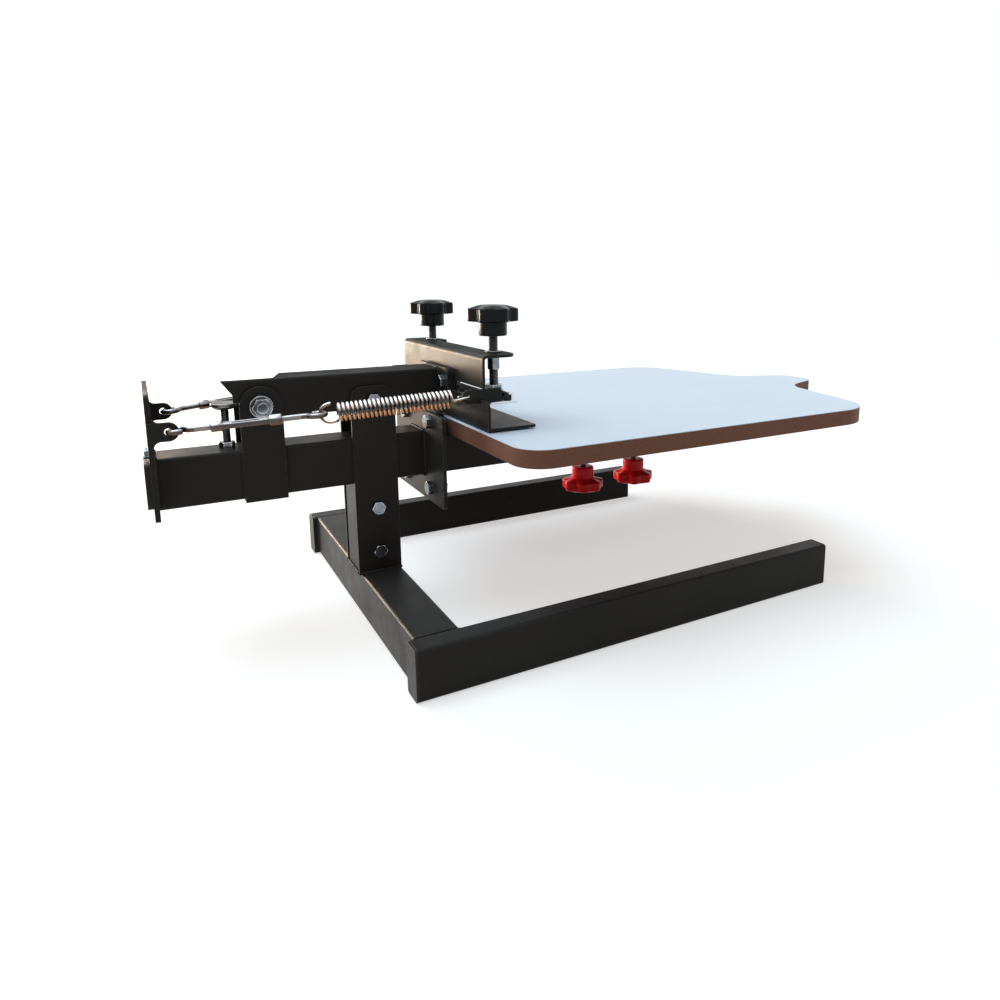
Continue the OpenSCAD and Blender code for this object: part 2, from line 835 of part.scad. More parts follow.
// Arm
module arm_side_outline() {
    drop = tail_tip_h + tail_lower;
    polygon([
        [tail_x, arm_top], [tail_x + tail_step, arm_top - tail_tip_h], [tail_x + tail_step, arm_top - drop],
        [tail_x + tail_step + tail_notch, arm_top - drop],
        [tail_x + tail_step + tail_notch + heel_run, arm_z],
        [arm_front, arm_z], [arm_front, arm_top]
    ]);
}
module web_cut() {
    in = arm_w / 2 - arm_t;
    out = arm_w / 2 + over;
    back = tail_x - over;
    near = [pivot_x + web_near, -in];
    far = [pivot_x + web_far, out];
    polygon(concat([[back, -in]], corner(near, [back, -in], far, web_r, ear_steps), [far, [back, out]]));
}
module flange_cut() {
    front = pivot_x + web_far;
    ear_top = pivot_z + ear_of_arm_r;
    difference() {
        translate([tail_x - over, arm_z - over]) square([front - tail_x + over, arm_h + 2 * over]);
        translate([pivot_x, pivot_z]) circle(ear_of_arm_r);
        polygon([
            [pivot_x, arm_z - 2 * over], [front + over, arm_z - 2 * over], [front + over, arm_top],
            [front, arm_top], [front - flange_ramp, ear_top], [pivot_x, ear_top]
        ]);
    }
}
module arm_channel() {
    web = arm_t * 3 / 2;
    color("#2f3033") difference() {
        intersection() {
            at(tail_x, 0, arm_z) along_x(arm_front - tail_x) difference() {
                top_rounded(arm_w, arm_h, arm_t);
                translate([0, -over]) top_rounded(arm_w - 2 * arm_t, arm_h - arm_t + over, arm_t / 2);
            }
            at(0, 0, 0) along_y(arm_w + over) arm_side_outline();
        }
        at(0, 0, arm_top - web) linear_extrude(web + over) web_cut();
        at(0, (arm_w - arm_t) / 2, 0) along_y(arm_t + over) flange_cut();
        inward(1, pivot_x, arm_w / 2, pivot_z) bore(pivot_d, arm_w);
    }
    color("#2f3033") at(pivot_x + lug_corner[0], arm_t - arm_w / 2, pivot_z + lug_corner[1])
        cube([lug_l, lug_w, lug_h]);
}
module at_head_bolts(x) {
    for (side = [-1, 1]) {
        at(x, side * head_bolt_y, head_bolt_z) forward() children();
    }
}
module arm_end_plate() {
    color("#2f3033") difference() {
        at(arm_front, 0, arm_top + end_plate_over - end_plate_h) along_x(end_plate_t)
            top_rounded(end_plate_w, end_plate_h, end_plate_r);
        at_head_bolts(arm_front) bore(m8_d, end_plate_t);
    }
}
module lower_jaw() {
    color("#2b2c33") difference() {
        union() {
            at(jaw_x, 0, jaw_z) along_x(clamp_t) {
                top_rounded(jaw_w, jaw_flange_h, jaw_r);
                top_rounded(jaw_mid_w, arm_top - jaw_z, jaw_r);
            }
            at(jaw_x, -jaw_w / 2, jaw_z) cube([jaw_reach, jaw_w, clamp_t]);
        }
        at_head_bolts(jaw_x) bore(m8_d, clamp_t);
        at_tabs() cube([2 * tab_fore, tab_t + 2 * fit, tab_h], center = true);
    }
}
module head_ear() {
    l = ear_flange - head_r;
    inner = [l, head_waist / 2];
    outer = [l, head_w / 2];
    inner_root = [0, head_waist / 2];
    outer_root = [0, head_w / 2];
    polygon(concat([outer_root, inner_root], corner(inner, inner_root, outer, ear_inner_r, ear_steps),
        corner(outer, inner, outer_root, ear_outer_r, ear_steps)));
}
module clamp_head() {
    color("#6f6152") difference() {
        union() {
            at(head_x, 0, head_top - head_plate_h) along_x(clamp_t) {
                translate([0, (head_plate_h - head_r) / 2])
                    square([head_w, head_plate_h - head_r], center = true);
            }
            at(head_x, 0, head_bolt_z - jaw_flange_h / 2) along_x(clamp_t)
                translate([0, jaw_flange_h / 2]) square([jaw_mid_w, jaw_flange_h], center = true);
            at(head_x + head_r, 0, head_top - head_r) along_y(head_w) intersection() {
                difference() {
                    circle(head_r);
                    circle(head_r - clamp_t);
                }
                translate([-head_r, 0]) square(head_r);
            }
            at(head_x + head_r, 0, head_top - clamp_t) linear_extrude(clamp_t) {
                translate([0, -head_w / 2]) square([head_flange - head_r, head_w]);
                for (side = [-1, 1]) {
                    scale([1, side]) head_ear();
                }
            }
        }
        at_head_bolts(head_x) bore(m8_d, clamp_t);
        at_clamp_screws(head_top - clamp_t) bore(bush_d, clamp_t);
    }
}
module head_bolts() {
    grip = end_plate_t + 2 * clamp_t + m8_nut + thread_end;
    color("#c9cbce") at_head_bolts(arm_front) hex_bolt(m8_d, grip, m8_af, m8_head);
}
module head_nuts() {
    color("#c9cbce") at_head_bolts(head_x + clamp_t + m8_nut) mirror([0, 0, 1]) hex_nut(m8_d, m8_af, m8_nut);
}
module at_tabs() {
    for (side = [-1, 1]) {
        at(tab_hole_x, side * tab_span / 2, tab_z) children();
    }
}
module spring_tabs() {
    low = tab_h / 2;
    color("#2f3033") difference() {
        at_tabs() along_y(tab_t) {
            circle(r = low);
            translate([0, -low]) square([tab_back + tab_fore - low, tab_h]);
        }
        at_tabs() rotate([90, 0, 0]) cylinder(h = tab_t + 2 * over, d = tab_hole_d, center = true);
    }
}

// Clamp screws and pressure bar
module at_clamp_screws(z) {
    for (side = [-1, 1]) {
        at(screw_x, side * screw_span / 2, z) children();
    }
}
module clamp_nuts() {
    color("#c9cbce") at_clamp_screws(head_top - bush_len) difference() {
        union() {
            cylinder(h = bush_chamfer, d1 = bush_d - 2 * bush_chamfer, d2 = bush_d);
            translate([0, 0, bush_chamfer]) cylinder(h = bush_len - bush_chamfer, d = bush_d);
            translate([0, 0, bush_len]) cylinder(h = bush_rim_t, d = bush_rim_d);
        }
        bore(m10_d, bush_len + bush_rim_t);
    }
}
module pressure_bar() {
    inside = bar_top_w - 2 * bar_wall;
    color("#a9adb0") at(screw_x, 0, bar_z) along_y(bar_len) difference() {
        union() {
            translate([-bar_top_w / 2, 0]) square([bar_top_w, bar_h]);
            translate([-bar_w / 2, 0]) square([bar_w, bar_base_t]);
        }
        translate([-inside / 2, bar_base_t]) square([inside, bar_h - bar_base_t - bar_lip]);
        translate([-bar_slot / 2, bar_base_t]) square([bar_slot, bar_h]);
    }
}
module clamp_stud(side) {
    foot = bar_top - bar_lip - bar_gap - stud_head_h;
    color("#8b8a90") at(screw_x, side * screw_span / 2, foot) {
        cylinder(h = stud_head_h, d = stud_head_d);
        cylinder(h = knob_z + knob_grip - foot, d = m10_d);
    }
}
module clamp_collar(side) {
    color("#8b8a90") at(screw_x, side * screw_span / 2, bar_top + bar_gap)
        hex_nut(m10_d, m10_af, m10_thin_nut);
}
module clamp_knob(side) {
    color("#232428") at(screw_x, side * screw_span / 2, knob_z)
        star_knob(knob_d, star_h, hub_h, hub_d, hub_skirt, m10_d);
}
module left_clamp_stud() {
    clamp_stud(-1);
}
module left_clamp_collar() {
    clamp_collar(-1);
}
module left_clamp_knob() {
    clamp_knob(-1);
}
module right_clamp_stud() {
    clamp_stud(1);
}
module right_clamp_collar() {
    clamp_collar(1);
}
module right_clamp_knob() {
    clamp_knob(1);
}

// Spring links. Both springs are wound the same way, so the right link is the left one
// turned half round its own length.
module at_link(side) {
    at(link_from[0], side * link_from[1], link_from[2]) rotate([0, -link_pitch, side * link_yaw])
        rotate([90 + side * 90, 0, 0]) children();
}
function hook_path(end) =
    let (start = hook_r * [cos(hook_from), sin(hook_from), 0], neck = hook_r + hook_lead)
    let (way = [-sin(hook_from), cos(hook_from), 0])
    concat(
        [[end, 0, 0], [(end + neck) / 2, 0, 0], [neck, 0, 0]],
        cubic([neck, 0, 0], [hook_r + hook_lead / 3, 0, 0], start - way * hook_lead / 2, start, 4),
        [for (a = [0:rod_steps]) let (t = hook_from + (hook_to - hook_from) * a / rod_steps)
            hook_r * [cos(t), sin(t), 0]]
    );
module hooks(side) {
    color("#9fa2a5") at_link(side) {
        wire(hook_path(bars_x + rod_inside), rod_d, hook_sides, [0, 0, 1]);
        translate([front_hook_x, 0, 0]) rotate([0, 0, 180])
            wire(hook_path(front_hook_x - front_sleeve_x + rod_inside), rod_d, hook_sides, [0, 0, 1]);
    }
}
module turnbuckle(side) {
    color("#a7a48f") at_link(side) difference() {
        union() {
            translate([rear_sleeve_x, 0, 0]) forward() cylinder(h = rear_sleeve_len, d = rear_sleeve_d);
            translate([front_sleeve_x, 0, 0]) forward() cylinder(h = front_sleeve_len, d = front_sleeve_d);
            for (s = [-1, 1]) {
                translate([bars_x - bars_t / 2, s * (bars_gap + bars_t) / 2 - bars_t / 2, -bars_h / 2])
                    cube([bars_len + bars_t, bars_t, bars_h]);
            }
        }
        translate([rear_sleeve_x - over, 0, 0]) forward()
            cylinder(h = bars_len + rear_sleeve_len + front_sleeve_len + 2 * over, d = rod_d + 2 * fit);
    }
}
rear_loop = [for (a = [0:loop_steps]) let (t = loop_start + loop_turn * a / loop_steps)
    [loop_x, 0, 0] + loop_r * [cos(t), 0, sin(t)]];
coil = [for (i = [0:curl_rings * coil_turn / 360]) let (t = 360 * i / curl_rings)
    [coil_x + coil_pitch * t / 360, spring_r * cos(coil_start + t), spring_r * sin(coil_start + t)]];
front_hook = [for (a = [0:hook_steps]) let (t = link_yaw - 90 + hook_turn * a / hook_steps)
    [link_len, 0, 0] + end_hook_r * [cos(t), sin(t), 0]];
function joined(p, q, reach) = let (a = p[len(p) - 1], b = q[0])
    concat(p, cubic(a, a + heading(p, len(p) - 1) * reach, b - heading(q, 0) * reach, b, join_steps), q);
function straight_ends(p, l) = let (e = len(p) - 1)
    concat([p[0] - heading(p, 0) * l], p, [p[e] + heading(p, e) * l]);
spring_path = straight_ends(joined(joined(rear_loop, coil, loop_r / 2), front_hook, spring_r / 2), wire_d);
spring_gap = least_gap(spring_path, wire_d);
echo(str("Least gap between the curls of a spring: ", spring_gap, " mm, needed ", gap_needed, " mm"));
module spring(side) {
    color("#c8c9cc") at_link(side) wire(spring_path, wire_d, wire_sides, [0, 1, 0]);
}
module left_hooks() {
    hooks(-1);
}
module left_turnbuckle() {
    turnbuckle(-1);
}
module left_spring() {
    spring(-1);
}
module right_hooks() {
    hooks(1);
}
module right_turnbuckle() {
    turnbuckle(1);
}
module right_spring() {
    spring(1);
}

rear_cross_tube();
left_leg_tube();
right_leg_tube();
leg_plugs();
post_tube();
left_post_plate();
right_post_plate();
post_bolts();
post_nuts();
guide_screws();
main_beam();
beam_plug();
anchor_plate();
anchor_bolt();
pivot_bracket();
pivot_bolt();
pivot_nut();
pivot_washers();
thrust_washers();
stop_disc();
stop_stud();
stop_nuts();
flange_plate();
support_flange();
flange_bolts();
flange_nuts();
support_tube();
support_plug();
platen_board();
platen_laminate();
platen_bracket();
platen_screws();
platen_nuts();
rear_lock_stud();
rear_lock_knob();
front_lock_stud();
front_lock_knob();
arm_channel();
arm_end_plate();
lower_jaw();
clamp_head();
head_bolts();
head_nuts();
spring_tabs();
clamp_nuts();
pressure_bar();
left_clamp_stud();
left_clamp_collar();
left_clamp_knob();
right_clamp_stud();
right_clamp_collar();
right_clamp_knob();
left_hooks();
left_turnbuckle();
left_spring();
right_hooks();
right_turnbuckle();
right_spring();
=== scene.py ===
import bpy
import json
from math import asin, atan2, copysign, cos, degrees, pi, radians, sin
from mathutils import Matrix, Vector

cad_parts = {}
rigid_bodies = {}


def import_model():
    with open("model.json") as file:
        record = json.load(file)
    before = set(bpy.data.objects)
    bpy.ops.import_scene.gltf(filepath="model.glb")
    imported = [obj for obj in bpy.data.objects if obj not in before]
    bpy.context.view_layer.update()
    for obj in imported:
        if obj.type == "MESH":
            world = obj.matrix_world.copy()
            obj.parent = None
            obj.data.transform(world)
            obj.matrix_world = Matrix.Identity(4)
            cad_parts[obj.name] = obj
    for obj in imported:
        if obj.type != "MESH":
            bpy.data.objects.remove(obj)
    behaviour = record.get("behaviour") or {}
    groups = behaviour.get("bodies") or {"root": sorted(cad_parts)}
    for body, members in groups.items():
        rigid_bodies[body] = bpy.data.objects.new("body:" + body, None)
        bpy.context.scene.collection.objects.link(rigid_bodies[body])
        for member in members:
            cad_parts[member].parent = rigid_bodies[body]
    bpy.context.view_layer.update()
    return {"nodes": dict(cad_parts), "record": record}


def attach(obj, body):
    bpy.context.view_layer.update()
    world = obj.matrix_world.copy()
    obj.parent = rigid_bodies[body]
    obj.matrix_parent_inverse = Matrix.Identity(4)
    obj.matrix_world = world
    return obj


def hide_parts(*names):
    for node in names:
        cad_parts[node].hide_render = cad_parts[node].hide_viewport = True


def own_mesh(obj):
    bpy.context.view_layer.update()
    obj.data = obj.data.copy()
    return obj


# The looks of a tabletop screen printing press: camera, light, finishes, and the pieces whose
# detail is finer than the solids: wound springs, hooks, turnbuckles, star knobs, threads, welds.
# Stations are millimetres from the rear edge of the post's side plates, as in the source.

for stray in list(bpy.data.objects):
    bpy.data.objects.remove(stray)
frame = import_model()
NODES = frame["nodes"]
scene = bpy.context.scene

MM = 0.001
MIDDLE = 247.25  # station of the middle of the part's box

# Stations and sizes that pieces below share with the solids
CLAMP_X, CLAMP_Y = 134, 90  # clamp screws
CLAMP_KNOB_Z = 308
CLAMP_STUD_Z = 243.4
LOCK_X = {"rear": 300, "front": 380}  # platen locks, which point down
LOCK_KNOB_Z = 126
LOCK_STUD_Z = 114.2
STOP_X, STOP_STUD_Z = -118, 189.6
LINK_REAR = Vector((-163, 59, 232.4))  # middle of the eye in the anchor plate's ear
LINK_FRONT = Vector((88, 119.5, 250.5))  # hole in the spring tab


# Shader nodes
def finish(name, base, rough, metal=0.0, specular=0.5, coat=0.0):
    """A named material with its constants on the shader's own sockets."""
    made = bpy.data.materials.new(name)
    made.use_nodes = True
    shader = made.node_tree.nodes["Principled BSDF"]
    shader.inputs["Base Color"].default_value = (*base, 1)
    shader.inputs["Roughness"].default_value = rough
    shader.inputs["Metallic"].default_value = metal
    shader.inputs["Specular IOR Level"].default_value = specular
    shader.inputs["Coat Weight"].default_value = coat
    shader.inputs["Coat Roughness"].default_value = 0.12
    return made, made.node_tree, shader


def put(tree, kind, **values):
    """A node with the values given to its sockets or its settings."""
    made = tree.nodes.new(kind)
    for key, value in values.items():
        if key in made.inputs:
            made.inputs[key].default_value = value
        else:
            setattr(made, key, value)
    return made


def noise(tree, scale, detail=4.0, rough=0.55, stretch=None):
    """Noise in object space, whose scale is in features per metre."""
    made = put(tree, "ShaderNodeTexNoise", Scale=scale, Detail=detail, Roughness=rough)
    place = put(tree, "ShaderNodeTexCoord").outputs["Object"]
    if stretch:
        bend = put(tree, "ShaderNodeMapping", Scale=stretch)
        tree.links.new(place, bend.inputs["Vector"])
        place = bend.outputs["Vector"]
    tree.links.new(place, made.inputs["Vector"])
    return made.outputs["Fac"]


def ramp(tree, source, stops):
    """Colours between (position, colour) stops."""
    made = put(tree, "ShaderNodeValToRGB")
    elements = made.color_ramp.elements
    while len(elements) < len(stops):
        elements.new(0.5)
    for element, (position, colour) in zip(elements, stops):
        element.position = position
        element.color = (*colour, 1)
    tree.links.new(source, made.inputs["Fac"])
    return made.outputs["Color"]


def span(tree, source, low, high, a=0.3, b=0.7):
    """A value from low to high as the source goes from a to b, held outside that."""
    made = put(tree, "ShaderNodeMapRange")
    for key, value in zip(("From Min", "From Max", "To Min", "To Max"), (a, b, low, high)):
        made.inputs[key].default_value = value
    tree.links.new(source, made.inputs["Value"])
    return made.outputs["Result"]


def mixed(tree, factor, a, b):
    """Two colours mixed, each a socket or a constant."""
    made = put(tree, "ShaderNodeMix", data_type="RGBA")
    colour_a, colour_b, colour_out = made.inputs[6], made.inputs[7], made.outputs[2]
    tree.links.new(factor, made.inputs["Factor"])
    for socket, value in ((colour_a, a), (colour_b, b)):
        if isinstance(value, tuple):
            socket.default_value = (*value, 1)
        else:
            tree.links.new(value, socket)
    return colour_out


def combined(tree, operation, a, b, clamp=False):
    """Two values put through a math node."""
    made = put(tree, "ShaderNodeMath", operation=operation, use_clamp=clamp)
    tree.links.new(a, made.inputs[0])
    tree.links.new(b, made.inputs[1])
    return made.outputs["Value"]


def bump(tree, shader, height, strength, distance):
    """Grain from a height, whose distance is in metres."""
    made = put(tree, "ShaderNodeBump", Strength=strength, Distance=distance)
    tree.links.new(height, made.inputs["Height"])
    tree.links.new(made.outputs["Normal"], shader.inputs["Normal"])


def edge_mask(tree, radius, most):
    """Bright where the surface bends within the radius: the edges, where the powder coat is worn and
    plated metal takes a painted highlight.
    """
    bent, flat_on = 0.9, 1.0  # how far the rounded normal agrees with the surface's own
    turned = put(tree, "ShaderNodeBevel", samples=4, Radius=radius)
    plain = put(tree, "ShaderNodeNewGeometry")
    dot = put(tree, "ShaderNodeVectorMath", operation="DOT_PRODUCT")
    tree.links.new(turned.outputs["Normal"], dot.inputs[0])
    tree.links.new(plain.outputs["Normal"], dot.inputs[1])
    return span(tree, dot.outputs["Value"], most, 0.0, bent, flat_on)


def painted_crevice_shade(tree, reach):
    """High in corners and gaps within the reach: a mask for painted shade."""
    closed, open_air = 0.5, 0.98
    near = put(tree, "ShaderNodeAmbientOcclusion", samples=8, Distance=reach)
    return span(tree, near.outputs["AO"], 1.0, 0.0, closed, open_air)


def painted_reflection_by_side(tree, under, flank, top):
    """A painted reflection and highlight by which way the surface faces, from its underside, at 0, to
    its top, at 1.
    """
    place = put(tree, "ShaderNodeTexCoord")
    split = put(tree, "ShaderNodeSeparateXYZ")
    tree.links.new(place.outputs["Normal"], split.inputs["Vector"])
    height = span(tree, split.outputs["Z"], 0.0, 1.0, -1.0, 1.0)
    return ramp(tree, height, [(0.36, under), (0.43, flank), (0.62, flank), (0.80, top)])


# Finishes
def powder_coat():
    """Matt black coating with a fine grain, dust, and worn edges."""
    coat_dark, coat_light = (0.0240, 0.0236, 0.0236), (0.0330, 0.0326, 0.0328)
    dust_colour, worn_colour = (0.055, 0.053, 0.051), (0.19, 0.17, 0.15)
    made, tree, shader = finish("powder_coat_black", coat_dark, 0.4, specular=0.06)
    base = ramp(tree, noise(tree, scale=9, detail=5), [(0.3, coat_dark), (0.7, coat_light)])
    dust = span(tree, noise(tree, scale=240, detail=6, rough=0.7), 0.0, 0.25, 0.56, 0.74)
    base = mixed(tree, dust, base, dust_colour)
    patchy = span(tree, noise(tree, scale=90, detail=5), 0.3, 1.0, 0.4, 0.65)
    worn = combined(tree, "MULTIPLY", edge_mask(tree, radius=0.0011, most=0.6), patchy)
    base = mixed(tree, worn, base, worn_colour)
    tree.links.new(base, shader.inputs["Base Color"])
    dull = span(tree, noise(tree, scale=35, detail=5), 0.33, 0.47)
    tree.links.new(dull, shader.inputs["Roughness"])
    # A fine grain hides its own gloss at a grazing view, which a flat shader doesn't
    slant = put(tree, "ShaderNodeLayerWeight", Blend=0.5)
    gloss = span(tree, slant.outputs["Facing"], 0.10, 0.004, 0.79, 0.87)
    tree.links.new(gloss, shader.inputs["Specular IOR Level"])
    grain = noise(tree, scale=900, detail=3, rough=0.5)
    bump(tree, shader, grain, strength=0.28, distance=0.00012)
    return made


GLOSSIER, DULLER = -0.05, 0.06  # how far a surface's roughness wanders from its own value


def plated(name, light, dark, rough, scale=60, rim_highlight=(0.86, 0.87, 0.88), grain=0.06, sides=None,
           gap=0.004, edge=0.0013):
    """Plated metal, with painted shade in its corners and a painted highlight along its edges; where
    sides are given, a painted reflection by which way the surface faces.
    """
    # The colour of the painted shade in corners and gaps: a third of the dark tone
    crevice_shade_colour = tuple(0.35 * c for c in dark)
    made, tree, shader = finish(name, light, rough, metal=1.0)
    base = ramp(tree, noise(tree, scale, detail=5), [(0.34, dark), (0.62, light)])
    # Painted reflection: the colour follows which way the surface faces, copper or brown below and
    # pale on top
    if sides:
        share = span(tree, noise(tree, scale=260), 0.85, 1.0)
        base = mixed(tree, share, base, painted_reflection_by_side(tree, *sides))
    # Painted shade: corners and gaps darken towards the shade colour
    base = mixed(tree, painted_crevice_shade(tree, gap), base, crevice_shade_colour)
    # Painted highlight: the edges take the pale rim colour
    if edge:
        base = mixed(tree, edge_mask(tree, edge, most=0.95), base, rim_highlight)
    tree.links.new(base, shader.inputs["Base Color"])
    streaks = noise(tree, scale=700, detail=3, rough=0.6)
    dull = span(tree, streaks, rough + GLOSSIER, rough + DULLER)
    tree.links.new(dull, shader.inputs["Roughness"])
    bump(tree, shader, noise(tree, scale=1500, detail=3), grain, distance=0.00005)
    return made


def plastic(name, light, dark, rough, grain, coat=0.0, specular=0.3):
    """Moulded plastic."""
    made, tree, shader = finish(name, light, rough, specular=specular, coat=coat)
    base = ramp(tree, noise(tree, scale=55), [(0.3, dark), (0.7, light)])
    tree.links.new(base, shader.inputs["Base Color"])
    dull = span(tree, noise(tree, scale=160), rough + GLOSSIER, rough + DULLER)
    tree.links.new(dull, shader.inputs["Roughness"])
    bump(tree, shader, noise(tree, scale=1300, detail=2), grain, distance=0.00006)
    return made


def laminate():
    """The platen's smooth white face."""
    dark, light = (0.715, 0.805, 0.915), (0.745, 0.835, 0.940)
    made, tree, shader = finish("laminate_white", light, 0.36, specular=0.14)
    base = ramp(tree, noise(tree, scale=5, detail=3), [(0.3, dark), (0.7, light)])
    tree.links.new(base, shader.inputs["Base Color"])
    dull = span(tree, noise(tree, scale=45, detail=5), 0.30, 0.40)
    tree.links.new(dull, shader.inputs["Roughness"])
    bump(tree, shader, noise(tree, scale=1100, detail=2), strength=0.08, distance=0.00006)
    return made


def board():
    """The sawn edge of a resin-bonded board: short fibres, with pale specks."""
    dark, middle, light = (0.185, 0.080, 0.054), (0.215, 0.096, 0.064), (0.245, 0.113, 0.077)
    speck_colour = (0.31, 0.180, 0.14)
    made, tree, shader = finish("board_edge", dark, 0.6, specular=0.3)
    fibre = noise(tree, scale=420, detail=7, rough=0.72, stretch=(1, 1, 2.2))
    base = ramp(tree, fibre, [(0.34, dark), (0.5, middle), (0.66, light)])
    flakes = noise(tree, scale=900, rough=0.6, stretch=(1, 1, 2))
    speck = span(tree, flakes, 0.0, 0.22, 0.60, 0.75)
    tree.links.new(mixed(tree, speck, base, speck_colour), shader.inputs["Base Color"])
    sawn = noise(tree, scale=700, detail=6, rough=0.7, stretch=(1, 1, 2))
    bump(tree, shader, sawn, strength=0.4, distance=0.0003)
    return made


# Painted reflections and highlights on the link's rods and on the spring wire: under, flank, top
ROD_REFLECTION_SIDES = ((0.110, 0.062, 0.040), (0.060, 0.050, 0.048), (0.30, 0.29, 0.30))
SPRING_REFLECTION_SIDES = ((0.66, 0.30, 0.120), (0.055, 0.050, 0.046), (0.93, 0.93, 0.94))
LOOK = {
    "black_powder_coat": powder_coat(),
    "zinc": plated("zinc_plate", (0.28, 0.303, 0.335), (0.095, 0.104, 0.122), 0.2),
    "yellow_zinc": plated("zinc_painted_reflection", (0.36, 0.335, 0.30), (0.17, 0.15, 0.125), 0.25, scale=90,
                          rim_highlight=(0.62, 0.60, 0.57), sides=ROD_REFLECTION_SIDES, edge=0.0003),
    "spring_chrome": plated("spring_wire", (0.40, 0.38, 0.365), (0.27, 0.245, 0.225), 0.2, scale=120,
                            grain=0.05, sides=SPRING_REFLECTION_SIDES, gap=0.0012, edge=0),
    "bar_steel": plated("bar_metal", (0.80, 0.83, 0.86), (0.62, 0.65, 0.68), 0.33, scale=40),
    "black_plastic": plastic("plug_plastic", (0.022, 0.021, 0.020), (0.014, 0.013, 0.013), 0.5,
                             grain=0.3),
    "knob_black": plastic("knob_black", (0.009, 0.0098, 0.0115), (0.0058, 0.0063, 0.0075), 0.22,
                          grain=0.04, specular=0.13),
    "knob_red": plastic("knob_red", (0.93, 0.026, 0.038), (0.82, 0.018, 0.028), 0.28,
                        grain=0.05, coat=0.05, specular=0.10),
    "laminate_white": laminate(),
    "board_brown": board(),
    "stop_grey": plated("stop_steel", (0.22, 0.22, 0.21), (0.10, 0.10, 0.095), 0.4, scale=80),
    "nylon": plastic("nylon", (0.62, 0.60, 0.54), (0.55, 0.53, 0.47), 0.4, grain=0.1),
}
# A darker copy of the zinc for the threaded studs: painted shade
THREAD = plated("zinc_thread", (0.20, 0.195, 0.195), (0.085, 0.08, 0.08), 0.24, gap=0.0012, edge=0)

for part in frame["record"]["subparts"]:
    NODES[part["node"]].material_slots[0].material = LOOK[part["material_slot"]]


# Broken edges on the CAD's own solids: the mesh is kept and modifiers round it off
WELD_REACH = 0.00002  # metres
FLAT_LIMIT, EDGE_LIMIT = radians(0.6), radians(32)
FACE_WEIGHT = 80


def soften(width, names, segments=2):
    """Round the sharp edges of the named nodes, over a width in millimetres."""
    for name in names.split():
        stack = NODES[name].modifiers
        stack.new("weld", "WELD").merge_threshold = WELD_REACH
        flat = stack.new("flat", "DECIMATE")
        flat.decimate_type = "DISSOLVE"
        flat.angle_limit = FLAT_LIMIT
        edge = stack.new("edge", "BEVEL")
        edge.limit_method = "ANGLE"
        edge.angle_limit = EDGE_LIMIT
        edge.width = width * MM
        edge.segments = segments
        light = stack.new("light", "WEIGHTED_NORMAL")
        light.keep_sharp = False
        light.weight = FACE_WEIGHT


soften(0.5, "rear_cross_tube left_leg_tube right_leg_tube post_tube main_beam support_tube")
soften(0.5, "left_post_plate right_post_plate anchor_plate pivot_bracket flange_plate support_flange")
soften(0.5, "arm_channel arm_end_plate lower_jaw clamp_head spring_tabs platen_bracket platen_board")
soften(2.2, "leg_plugs", segments=4)
soften(1.2, "beam_plug support_plug", segments=3)
soften(0.35, "pressure_bar pivot_washers stop_disc left_clamp_collar right_clamp_collar")
soften(0.25, "platen_laminate")
soften(0.3, "post_bolts post_nuts guide_screws anchor_bolt pivot_bolt pivot_nut stop_nuts")
soften(0.3, "flange_bolts flange_nuts platen_nuts head_bolts head_nuts clamp_nuts platen_screws")


# Meshes, which are pairs of points and faces
def piece(name, shape, body, slot, matrix, replaces=None, sharp=60, look=None):
    """A smooth-shaded object of the shape, which rides the body and may stand in for a node."""
    verts, faces = shape
    mesh = bpy.data.meshes.new(name)
    mesh.from_pydata([tuple(v) for v in verts], [], faces)
    mesh.transform(matrix)
    mesh.validate()
    mesh.polygons.foreach_set("use_smooth", [True] * len(mesh.polygons))
    mesh.set_sharp_from_angle(angle=radians(sharp))
    obj = bpy.data.objects.new(name, mesh)
    scene.collection.objects.link(obj)
    mesh.materials.append(look or LOOK[slot])
    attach(obj, body)
    if replaces:
        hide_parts(replaces)
    return obj


def bridge(rings, count):
    """Faces between rings of count points, with flat ends."""
    faces = []
    for i in range(rings - 1):
        a, b = i * count, (i + 1) * count
        for k in range(count):
            m = (k + 1) % count
            faces.append((a + k, a + m, b + m, b + k))
    faces.append(tuple(reversed(range(count))))
    faces.append(tuple((rings - 1) * count + k for k in range(count)))
    return faces


def merged(*shapes):
    """Several shapes as one."""
    verts, faces = [], []
    for more_verts, more_faces in shapes:
        faces += [tuple(i + len(verts) for i in face) for face in more_faces]
        verts += more_verts
    return verts, faces


def moved(shape, matrix):
    """The shape put through a matrix."""
    verts, faces = shape
    return [matrix @ v for v in verts], faces


def turns(count, offset=0.0):
    """The angles of count points round a circle."""
    return [2 * pi * (k + offset) / count for k in range(count)]


def polar(r, angle, z):
    """The point at a radius, an angle and a height."""
    return Vector((r * cos(angle), r * sin(angle), z))


def heading(path, i):
    """The direction of a path at its point i."""
    return (path[min(i + 1, len(path) - 1)] - path[max(i - 1, 0)]).normalized()


ROUNDED_END = ((0.92, 0.25), (0.62, 0.45))  # size and distance, as shares of the radius


